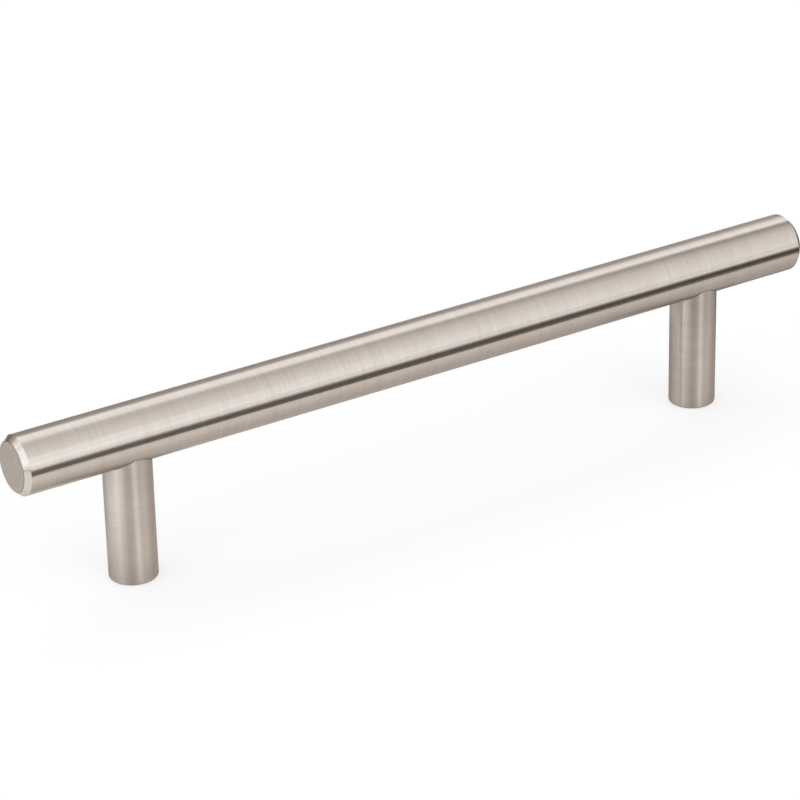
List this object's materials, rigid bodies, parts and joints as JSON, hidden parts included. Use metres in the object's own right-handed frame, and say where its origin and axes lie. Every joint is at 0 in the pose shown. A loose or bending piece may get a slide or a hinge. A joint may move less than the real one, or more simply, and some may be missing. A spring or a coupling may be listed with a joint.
{
  "type": "t bar cabinet pull",
  "caption": "Round bar pull handle on round posts whose tops are cut to the bar, with chamfered bar ends and a tapped fixing hole in each foot.",
  "frame": {"origin": "midway between the posts, on the plane of their feet, which is the face of the door or drawer", "axes": "+X along the bar, +Z from the feet to the bar, +Y across it to complete a right-handed frame"},
  "size_m": [0.174, 0.0116, 0.0347],
  "materials": {
    "satin_nickel": "satin nickel plate over a fine brushing that runs round the bar and the posts",
    "stud_steel": "plain zinc-plated steel"
  },
  "bodies": {
    "root": {"bar": "satin_nickel", "post_left": "satin_nickel", "post_right": "satin_nickel", "stud_left": "stud_steel", "stud_right": "stud_steel"}
  },
  "joints": []
}
